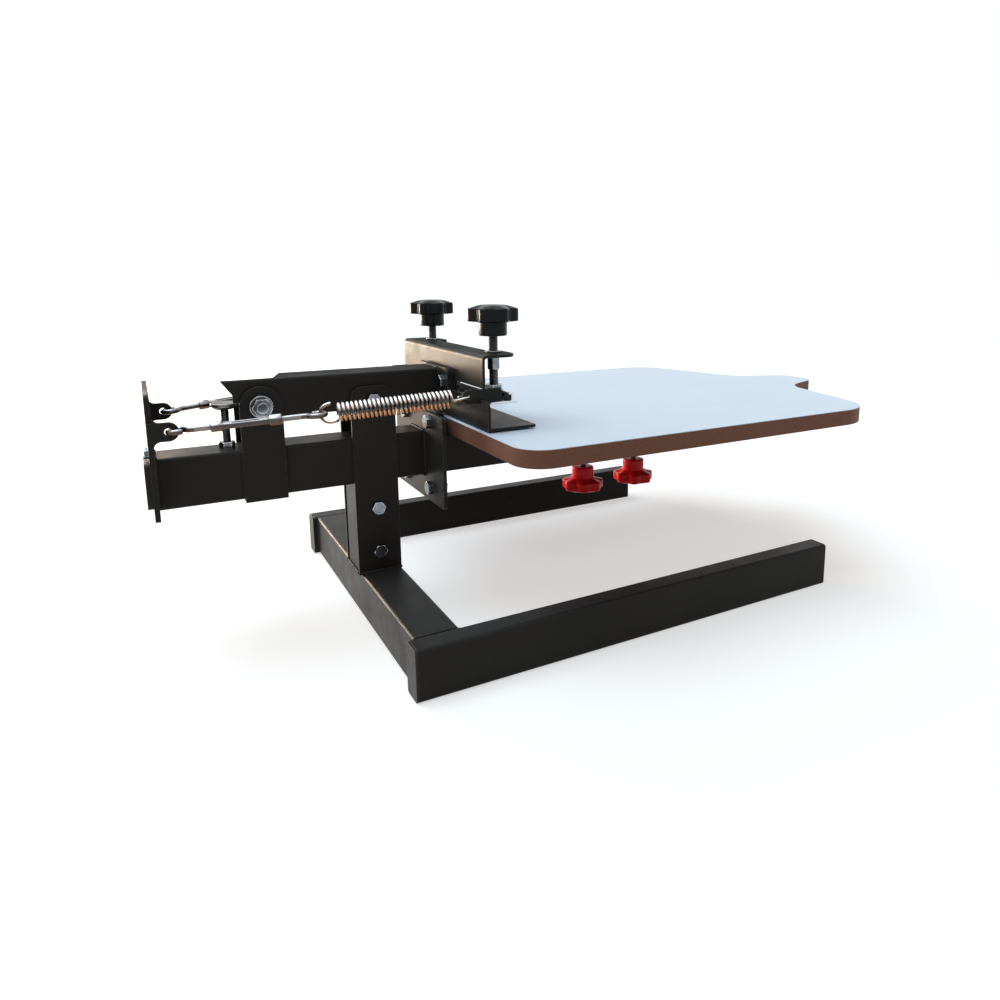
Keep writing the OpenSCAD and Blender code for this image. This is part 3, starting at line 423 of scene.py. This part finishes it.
def sweep(path, radius, sides, start):
    """A wire along a path, with rounded ends and one radius, or a list of one per point."""
    path = [Vector(p) for p in path]
    radii = radius if isinstance(radius, list) else [radius] * len(path)
    way = [heading(path, i) for i in range(len(path))]
    side = Vector(start)
    rows = []
    for p, along, r in zip(path, way, radii):
        side = (side - along * side.dot(along)).normalized()
        rows.append((p, side.copy(), along.cross(side), r))
    head, tail = rows[0], rows[-1]
    for size, distance in ROUNDED_END:
        rows.insert(0, (head[0] - way[0] * head[3] * distance, *head[1:3], head[3] * size))
        rows.append((tail[0] + way[-1] * head[3] * distance, *tail[1:3], tail[3] * size))
    verts = [p + r * (cos(a) * u + sin(a) * w) for p, u, w, r in rows for a in turns(sides)]
    return verts, bridge(len(rows), sides)


def lathe(profile, sides=40):
    """A turned shape from (radius, height) pairs, closed at both ends."""
    return [polar(r, a, z) for r, z in profile for a in turns(sides)], bridge(len(profile), sides)


THREAD_STEPS = 6  # levels in one pitch
THREAD_DEPTH_SHARE = 0.58  # of the pitch
THREAD_CREST = 1.35  # above 1, the crest is flat
THREAD_END_SHARE = 1.1  # of the depth, where the thread runs out


def thread(length, major, pitch, sides=28, run_out=1.2):
    """A rod with a real helical thread, which may run out at its far end."""
    levels = int(length / pitch * THREAD_STEPS)
    depth = THREAD_DEPTH_SHARE * pitch
    verts = []
    for i in range(levels + 1):
        z = length * i / levels
        ending = max(0.0, 1 - (length - z) / run_out) if run_out else 0
        for k, a in enumerate(turns(sides)):
            phase = (z / pitch - k / sides) % 1
            ridge = min(1, THREAD_CREST * (1 - abs(2 * phase - 1)))
            sunk = max(depth * (1 - ridge), THREAD_END_SHARE * ending * depth)
            verts.append(polar(major / 2 - sunk, a, z))
    return verts, bridge(levels + 1, sides)


def at(x, y, z, turn=Matrix.Identity(4)):
    """Local millimetres at a station, turned."""
    return Matrix.Translation(((x - MIDDLE) * MM, y * MM, z * MM)) @ turn @ Matrix.Scale(MM, 4)


POINT_DOWN = Matrix.Rotation(pi, 4, "X")

# Star knobs
STAR_D = 53.5
LOBES = 7
LOBE_TURN = radians(17.5)
STAR_SIDES = 140
BORE_GAP = 0.3  # between the hub's bore and the stud
HUB_EDGE = ((1.4, 0.0), (0.6, 0.2), (0.15, 0.8), (0.0, 1.6))  # inset, height round the hub's foot
STAR_EDGE = ((1.2, 0.02), (0.5, 0.2), (0.12, 0.7), (0.0, 1.4))  # the same round the star's underside
SKIRT_INSET, SKIRT_BEND = 1.6, 1.3
TOP_ROUND, TOP_ARC, TOP_INSET = 2.2, radians(70), 1.8
CROWN_SHARE, CROWN_RISE, CROWN_BEND = 0.2, 3.35, 1.15
CROWN_INSET = 1.2
CAP = ((0.85, 3.52), (0.6, 3.62), (0.3, 3.68), (0.05, 3.7))  # share of the crown's radius, rise


def star(hub_d, hub_h, star_h, skirt, bore, cut):
    """A seven-lobed moulded knob: hub at the bottom, skirt under the star, crowned top."""
    angles = turns(STAR_SIDES)
    lobed = [STAR_D / 2 - STAR_D * cut * (1 - cos(LOBES * (a - LOBE_TURN))) / 2 for a in angles]
    rows = []

    def level(z, radii):
        rows.append([polar(r, a, z) for r, a in zip(radii, angles)])

    def round_level(z, r):
        level(z, [r] * STAR_SIDES)

    def lobed_level(z, inset):
        level(z, [r - inset for r in lobed])

    hub, top, crown = hub_d / 2, hub_h + star_h, CROWN_SHARE * STAR_D
    round_level(0.0, bore / 2 + BORE_GAP)
    for inset, z in HUB_EDGE:
        round_level(z, hub - inset)
    round_level(hub_h - skirt, hub)
    for share in (0.25, 0.5, 0.75):
        radii = [hub + (r - SKIRT_INSET - hub) * share for r in lobed]
        level(hub_h - skirt * (1 - share) ** SKIRT_BEND, radii)
    for inset, z in STAR_EDGE:
        lobed_level(hub_h + z, inset)
    lobed_level(top - TOP_ROUND, 0.0)
    for share in (0.25, 0.5, 0.75, 1.0):
        a = TOP_ARC * share
        lobed_level(top - TOP_ROUND + TOP_ROUND * sin(a) / sin(TOP_ARC), TOP_INSET * (1 - cos(a)))
    for share in (0.1, 0.25, 0.45, 0.65, 0.82, 0.94, 1.0):
        radii = [(r - CROWN_INSET) * (1 - share) + crown * share for r in lobed]
        level(top + CROWN_RISE * sin(share * pi / 2) ** CROWN_BEND, radii)
    for share, rise in CAP:
        round_level(top + rise, crown * share)
    return [p for row in rows for p in row], bridge(len(rows), STAR_SIDES)


clamp_star = star(hub_d=29.5, hub_h=15, star_h=13.5, skirt=1.5, bore=10, cut=0.09)
lock_star = star(hub_d=28, hub_h=18, star_h=11.3, skirt=4, bore=8, cut=0.075)
for side, y in (("left", -CLAMP_Y), ("right", CLAMP_Y)):
    piece(side + "_star_knob", clamp_star, side + "_screw", "knob_black",
          at(CLAMP_X, y, CLAMP_KNOB_Z), side + "_clamp_knob", sharp=50)
for side, x in LOCK_X.items():
    piece(side + "_star_lock", lock_star, side + "_knob", "knob_red",
          at(x, 0, LOCK_KNOB_Z, POINT_DOWN), side + "_lock_knob", sharp=50)

# Threaded studs; those of the clamp stand on a head that slides in the pressure bar's slot
HEAD_R, HEAD_H = 7.25, 5.0
HEAD_BREAK, HEAD_INSET, HEAD_INNER = 0.4, 0.35, 4.9
head_profile = [(HEAD_INNER, 0), (HEAD_R - HEAD_INSET, 0), (HEAD_R, HEAD_BREAK)]
head_profile += [(r, HEAD_H - z) for r, z in reversed(head_profile)]
clamp_rod = thread(71.6, major=10, pitch=1.5, run_out=0)
clamp_stud = merged(lathe(head_profile), moved(clamp_rod, Matrix.Translation((0, 0, HEAD_H))))
lock_stud = thread(35.5, major=8, pitch=1.25)
stop_stud = thread(50.9, major=8, pitch=1.25)
for side, y in (("left", -CLAMP_Y), ("right", CLAMP_Y)):
    piece(side + "_screw_stud", clamp_stud, side + "_screw", "zinc",
          at(CLAMP_X, y, CLAMP_STUD_Z), side + "_clamp_stud", look=THREAD)
for side, x in LOCK_X.items():
    piece(side + "_lock_screw", lock_stud, side + "_stud", "zinc",
          at(x, 0, LOCK_STUD_Z), side + "_lock_stud", look=THREAD)
piece("stop_screw", stop_stud, "base", "zinc",
      at(STOP_X, 0, STOP_STUD_Z), "stop_stud", look=THREAD)

# Spring links, whose local X runs from the middle of the rear hook's eye to the spring tab's hole
ROD_R, ROD_SIDES = 2.7, 18
ROD_THREAD_D, ROD_THREAD_PITCH, ROD_THREAD_SIDES = 5.5, 0.9, 22
EYE_R, EYE_LEAD = 7.0, 6.0
EYE_FROM, EYE_SWEEP = 40, 265  # degrees
FRONT_EYE_X = 120.0
REAR_ROD_END, FRONT_ROD_END = 45.6, 50.4
REAR_THREAD, FRONT_THREAD = (14.5, 30.6), (105.5, 35.5)  # start, length
RING_X, RING_R, RING_FROM, RING_SWEEP = 131.25, 8.8, 100, 185
COIL_X, COIL_R, COIL_FROM, COIL_SWEEP, COIL_GAP = 138.0, 7.9, -60, 9600, 13
COIL_STEPS = 28  # points in a turn
TAB_HOOK_R, TAB_HOOK_FROM, TAB_HOOK_SWEEP = 5, -90, 210
STRAIGHT_STEPS, BEND_STEPS, JOIN_STEPS = 6, 8, 10  # points along a rod, its neck and a join
EYE_STEPS, RING_STEPS, TAB_HOOK_STEPS = 40, 30, 26
WIRE_R, WIRE_SIDES, WIRE_TAIL = 1.5, 12, 3


def cubic(p, q, r, s, count):
    """The points inside a Bezier curve of four points."""
    shares = [i / count for i in range(1, count)]
    return [(1 - t) ** 3 * p + 3 * (1 - t) ** 2 * t * q + 3 * (1 - t) * t * t * r + t ** 3 * s
            for t in shares]


def arc(centre, radius, start, angle, count, upright=False):
    """Points of an arc in local XY, or XZ where it is upright; the angles are in degrees."""
    points = []
    for i in range(count + 1):
        a = radians(start + angle * i / count)
        across = (0, sin(a)) if upright else (sin(a), 0)
        points.append(Vector((centre + radius * cos(a), radius * across[0], radius * across[1])))
    return points


def joined(p, q, reach):
    """Two paths with a smooth bend between them."""
    a, b = p[-1], q[0]
    leave, arrive = heading(p, len(p) - 1) * reach, heading(q, 0) * reach
    return p + cubic(a, a + leave, b - arrive, b, JOIN_STEPS) + q


def hook_path(end):
    """A rod from its end to an open eye round the origin."""
    a = radians(EYE_FROM)
    first, way = EYE_R * Vector((cos(a), sin(a), 0)), Vector((-sin(a), cos(a), 0))
    neck, bend = EYE_R + EYE_LEAD, Vector((EYE_R + EYE_LEAD / 3, 0, 0))
    shares = [i / STRAIGHT_STEPS for i in range(STRAIGHT_STEPS + 1)]
    path = [Vector((end + (neck - end) * share, 0, 0)) for share in shares]
    path += cubic(path[-1], bend, first - way * EYE_LEAD / 2, first, BEND_STEPS)
    return path + arc(0, EYE_R, EYE_FROM, EYE_SWEEP, EYE_STEPS)


def hooks():
    """Both hooked rods of a link, with the threads that enter the turnbuckle."""
    rear_x, rear_length = REAR_THREAD
    front_x, front_length = FRONT_THREAD
    turned = Matrix.Translation((FRONT_EYE_X, 0, 0)) @ Matrix.Rotation(pi, 4, "Z")

    def rod_thread(x, length, angle):
        cut = thread(length, ROD_THREAD_D, ROD_THREAD_PITCH, ROD_THREAD_SIDES)
        return moved(cut, Matrix.Translation((x, 0, 0)) @ Matrix.Rotation(angle, 4, "Y"))

    rear = sweep(hook_path(REAR_ROD_END), ROD_R, ROD_SIDES, (0, 0, 1))
    front = moved(sweep(hook_path(FRONT_ROD_END), ROD_R, ROD_SIDES, (0, 0, 1)), turned)
    return merged(rear, front, rod_thread(rear_x, rear_length, pi / 2),
                  rod_thread(front_x, front_length, -pi / 2))


def turnbuckle():
    """The body: two drilled ends, with flats, joined by two bars."""
    end_sides, bar_sides, flat_share = 32, 16, 0.78
    bar_y, bar_half_y, bar_half_z = 4.7, 1.5, 2.6
    flare_y, flare_z, square_y, square_z = 0.5, 0.4, 0.5, 0.55  # powers below 1 square the section
    flare = [(36.4, 0.9), (37.6, 0.6), (39.5, 0.15), (42, 0.0), (57.6, 0.0), (73, 0.0),
             (75.6, 0.15), (77.4, 0.6), (78.8, 0.9)]  # place along the bar, how far it flares

    def end(x0, x1, d):
        breaks = [(0.0, 1.0), (0.4, 0.3), (1.2, 0.0)]  # distance from the face, inset
        profile = [(x0 + x, d / 2 - inset) for x, inset in breaks]
        profile += [(x1 - x, d / 2 - inset) for x, inset in reversed(breaks)]
        verts = []
        for x, r in profile:
            for a in turns(end_sides, 0.5):
                reach = r / max(1, flat_share * (abs(cos(a)) + abs(sin(a))))
                verts.append(Vector((x, reach * cos(a), reach * sin(a))))
        return verts, bridge(len(profile), end_sides)

    def bar(sign):
        verts = []
        for x, grow in flare:
            for a in turns(bar_sides, 0.5):
                y = bar_half_y * copysign(abs(cos(a)) ** square_y, cos(a))
                z = (bar_half_z + flare_z * grow) * copysign(abs(sin(a)) ** square_z, sin(a))
                verts.append(Vector((x, sign * (bar_y - flare_y * grow) + y, z)))
        return verts, bridge(len(flare), bar_sides)

    return merged(end(27.6, 37.8, 9.5), end(77.4, 88.9, 10.5), bar(1), bar(-1))


def spring(length, yaw):
    """A wound spring: an open ring in the hook, close coils, and a hook through the spring tab."""
    ring = arc(RING_X, RING_R, RING_FROM, RING_SWEEP, RING_STEPS, upright=True)
    coil_end, coil_turns = length - COIL_GAP, COIL_SWEEP / 360
    coil = []
    for i in range(int(COIL_STEPS * coil_turns) + 1):
        turn = i / COIL_STEPS
        a = radians(COIL_FROM + 360 * turn)
        x = COIL_X + (coil_end - COIL_X) * turn / coil_turns
        coil.append(Vector((x, COIL_R * cos(a), COIL_R * sin(a))))
    hook_from = degrees(yaw) + TAB_HOOK_FROM
    tab_hook = arc(length, TAB_HOOK_R, hook_from, TAB_HOOK_SWEEP, TAB_HOOK_STEPS)
    path = joined(joined(ring, coil, RING_R / 2), tab_hook, COIL_R / 2)
    first, last = heading(path, 0) * WIRE_TAIL, heading(path, len(path) - 1) * WIRE_TAIL
    return sweep([path[0] - first] + path + [path[-1] + last], WIRE_R, WIRE_SIDES, (0, 1, 0))


def link_frame(sign):
    """The place of a link on its side, its length, and how far it leans outward."""
    run = LINK_FRONT - LINK_REAR
    yaw, pitch = atan2(run.y, run.x), asin(run.z / run.length)
    turn = Matrix.Rotation(sign * yaw, 4, "Z") @ Matrix.Rotation(-pitch, 4, "Y")
    turn = turn @ Matrix.Rotation(radians(90 + sign * 90), 4, "X")
    return at(LINK_REAR.x, sign * LINK_REAR.y, LINK_REAR.z, turn), run.length, yaw


for side, sign in (("left", -1), ("right", 1)):
    place, length, yaw = link_frame(sign)
    piece(side + "_hook_rods", hooks(), side + "_link", "yellow_zinc",
          place, side + "_hooks", sharp=50)
    piece(side + "_buckle_body", turnbuckle(), side + "_buckle", "yellow_zinc",
          place, side + "_turnbuckle", sharp=45)
    wound = piece(side + "_wound_spring", spring(length, yaw), side + "_link", "spring_chrome",
                  place, side + "_spring")
    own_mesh(wound)

# Weld beads, as rippled ropes half sunk into the corner they fill
BEAD_STEP, BEAD_SIDES, BEAD_START = 0.55, 10, (0.3, 0.5, 0.8)
RIPPLE_LENGTH, RIPPLE_SHARE = 2.3, 0.10
DRIFT_RATE, DRIFT_PHASE, DRIFT_SHARE = 0.13, 2, 0.05  # a slower change of width along the bead
# Places of the beads, just off the faces that they join, and their spans in height
CROSS_REAR, CROSS_FRONT, CROSS_TOP, CROSS_SPAN = 2.2, 46.8, 50, (3, 48)
LEG_INNER = 194.2
PLATE_REAR, PLATE_SIDE = 0.2, 25.6
POST_REAR, POST_FOOT, POST_HALF = 0.6, 50.2, 22
ANCHOR_FRONT, ANCHOR_GAP_HALF = -182.3, 5
FLANGE_REAR, FLANGE_FRONT, FLANGE_SPAN = 79.9, 90.1, (153, 192)
BEAM_SIDE, BEAM_HALF, BEAM_TOP, BEAM_BOTTOM, BEAM_SPAN = 22.6, 20, 200.2, 149.8, (153, 197)
SADDLE_SIDE, SADDLE_REAR, SADDLE_FRONT, SADDLE_SPAN = 22.7, -107.1, -66.9, (152, 198)
SUPPORT_BOTTOM = 149.6
ARM_SIDE, ARM_HALF, ARM_TOP, ARM_FRONT, ARM_SPAN = 21.5, 18, 269.4, 98.9, (241, 267)


def both_sides(start, end):
    """A run and its mirror image across the middle plane."""
    return [[(x, sign * y, z) for x, y, z in (start, end)] for sign in (-1, 1)]


def upright_runs(x, y, heights):
    low, high = heights
    return both_sides((x, y, low), (x, y, high))


def across(x, y, z):
    """A run from side to side."""
    return [[(x, -y, z), (x, y, z)]]


def weld(name, body, runs, width):
    """Straight beads whose width ripples along their length."""
    shapes = []
    for start, end in runs:
        start, end = Vector(start), Vector(end)
        count = max(2, int((end - start).length / BEAD_STEP))
        path = [start + (end - start) * i / count for i in range(count + 1)]
        radii = []
        for i in range(count + 1):
            ripple = RIPPLE_SHARE * sin(2 * pi * i * BEAD_STEP / RIPPLE_LENGTH)
            drift = DRIFT_SHARE * sin(DRIFT_RATE * i + DRIFT_PHASE)
            radii.append(width / 2 * (1 + ripple + drift))
        shapes.append(sweep(path, radii, BEAD_SIDES, BEAD_START))
    piece(name, merged(*shapes), body, "black_powder_coat", at(0, 0, 0))


base_runs = upright_runs(CROSS_REAR, LEG_INNER, CROSS_SPAN)
base_runs += upright_runs(CROSS_FRONT, LEG_INNER, CROSS_SPAN)
base_runs += both_sides((PLATE_REAR, PLATE_SIDE, CROSS_TOP), (CROSS_FRONT, PLATE_SIDE, CROSS_TOP))
base_runs += across(POST_REAR, POST_HALF, POST_FOOT)
weld("base_welds", "base", base_runs, width=3.2)

beam_runs = upright_runs(ANCHOR_FRONT, BEAM_SIDE, BEAM_SPAN)
beam_runs += both_sides((ANCHOR_FRONT, BEAM_HALF, BEAM_TOP), (ANCHOR_FRONT, ANCHOR_GAP_HALF, BEAM_TOP))
beam_runs += upright_runs(FLANGE_REAR, BEAM_SIDE, BEAM_SPAN)
beam_runs += across(FLANGE_REAR, BEAM_HALF, BEAM_TOP) + across(FLANGE_REAR, BEAM_HALF, BEAM_BOTTOM)
beam_runs += upright_runs(SADDLE_REAR, SADDLE_SIDE, SADDLE_SPAN)
beam_runs += upright_runs(SADDLE_FRONT, SADDLE_SIDE, SADDLE_SPAN)
beam_runs += upright_runs(FLANGE_FRONT, BEAM_SIDE, FLANGE_SPAN)
beam_runs += across(FLANGE_FRONT, BEAM_HALF, SUPPORT_BOTTOM)
weld("beam_welds", "base", beam_runs, width=3.4)

arm_runs = upright_runs(ARM_FRONT, ARM_SIDE, ARM_SPAN) + across(ARM_FRONT, ARM_HALF, ARM_TOP)
weld("arm_welds", "arm", arm_runs, width=2.6)


# The stand: a pale floor, and a white background for the camera and for reflections
def seen(tree):
    """One for camera, glossy and transmission rays, else nothing."""
    rays = put(tree, "ShaderNodeLightPath").outputs
    mirrored = combined(tree, "ADD", rays["Is Camera Ray"], rays["Is Glossy Ray"], clamp=True)
    return combined(tree, "ADD", mirrored, rays["Is Transmission Ray"], clamp=True)


def gated(tree, unseen, shown):
    """A shader for seen rays, and another for the light that reaches the object."""
    gate = put(tree, "ShaderNodeMixShader")
    tree.links.new(seen(tree), gate.inputs["Fac"])
    tree.links.new(unseen, gate.inputs[1])
    tree.links.new(shown, gate.inputs[2])
    return gate.outputs["Shader"]


FLOOR_HALF = 60.0  # metres
FLOOR_GREY, FLOOR_GLOW = (0.6, 0.6, 0.6), 0.55
BOUNCE_COLOUR = (0.62, 0.51, 0.41, 1)
ROOM_COLOUR, ROOM_STRENGTH = (1.0, 0.90, 0.80, 1), 0.2

ground = bpy.data.meshes.new("floor")
corners = [(-FLOOR_HALF, -FLOOR_HALF, 0), (FLOOR_HALF, -FLOOR_HALF, 0),
           (FLOOR_HALF, FLOOR_HALF, 0), (-FLOOR_HALF, FLOOR_HALF, 0)]
ground.from_pydata(corners, [], [(0, 1, 2, 3)])
floor = bpy.data.objects.new("floor", ground)
scene.collection.objects.link(floor)
pale, tree, shader = finish("floor_white", FLOOR_GREY, 0.9, specular=0.1)
ground.materials.append(pale)
glow = put(tree, "ShaderNodeEmission", Color=(1, 1, 1, 1), Strength=FLOOR_GLOW)
both = put(tree, "ShaderNodeAddShader")
tree.links.new(shader.outputs["BSDF"], both.inputs[0])
tree.links.new(glow.outputs["Emission"], both.inputs[1])
bounce = put(tree, "ShaderNodeBsdfDiffuse", Color=BOUNCE_COLOUR)
surface = gated(tree, bounce.outputs["BSDF"], both.outputs["Shader"])
tree.links.new(surface, tree.nodes["Material Output"].inputs["Surface"])

world = bpy.data.worlds.new("studio")
scene.world = world
world.use_nodes = True
tree = world.node_tree
room = tree.nodes["Background"]
room.inputs["Color"].default_value = ROOM_COLOUR
room.inputs["Strength"].default_value = ROOM_STRENGTH
white = put(tree, "ShaderNodeBackground", Color=(1, 1, 1, 1), Strength=1.0)
surface = gated(tree, room.outputs["Background"], white.outputs["Background"])
tree.links.new(surface, tree.nodes["World Output"].inputs["Surface"])


# Lamps: a bluish sky from above, and a warm window beyond the part
SKY_TOWARD = Vector((0.30, -0.20, -1.0))
BEYOND_PLACE, BEYOND_AIM = Vector((-1.2, 2.3, 0.37)), Vector((0.0, 0.0, 0.2))


def lamp(name, kind, power, colour, toward, place=(0, 0, 0), **settings):
    """A lamp that shines along a direction."""
    data = bpy.data.lights.new(name, kind)
    data.energy, data.color = power, colour
    for key, value in settings.items():
        setattr(data, key, value)
    obj = bpy.data.objects.new(name, data)
    scene.collection.objects.link(obj)
    obj.location = place
    obj.rotation_euler = toward.to_track_quat("-Z", "Y").to_euler()


lamp("sky", "SUN", 2.35, (0.75, 0.90, 1.0), SKY_TOWARD, angle=radians(50))
lamp("beyond", "AREA", 80, (1.0, 0.79, 0.58), BEYOND_AIM - BEYOND_PLACE, BEYOND_PLACE,
     shape="RECTANGLE", size=1.7, size_y=0.66)

# The camera stands where the photograph's perspective puts it
CAMERA_PLACE = (-0.43625, -0.7928, 0.3695)
CAMERA_YAW, CAMERA_PITCH = 0.527, -0.18
eye = bpy.data.cameras.new("camera")
eye.lens = 26.6
eye.sensor_width = 36.0
eye.shift_x, eye.shift_y = -0.0644, -0.0902
eye.clip_start, eye.clip_end = 0.01, 200
camera = bpy.data.objects.new("camera", eye)
scene.collection.objects.link(camera)
scene.camera = camera
flat_ahead = Vector((sin(CAMERA_YAW), cos(CAMERA_YAW), 0))
ahead = flat_ahead * cos(CAMERA_PITCH) + Vector((0, 0, sin(CAMERA_PITCH)))
right = Vector((cos(CAMERA_YAW), -sin(CAMERA_YAW), 0))
facing = Matrix((right, right.cross(ahead), -ahead)).transposed().to_4x4()
camera.matrix_world = Matrix.Translation(CAMERA_PLACE) @ facing

scene.view_settings.view_transform = "Standard"
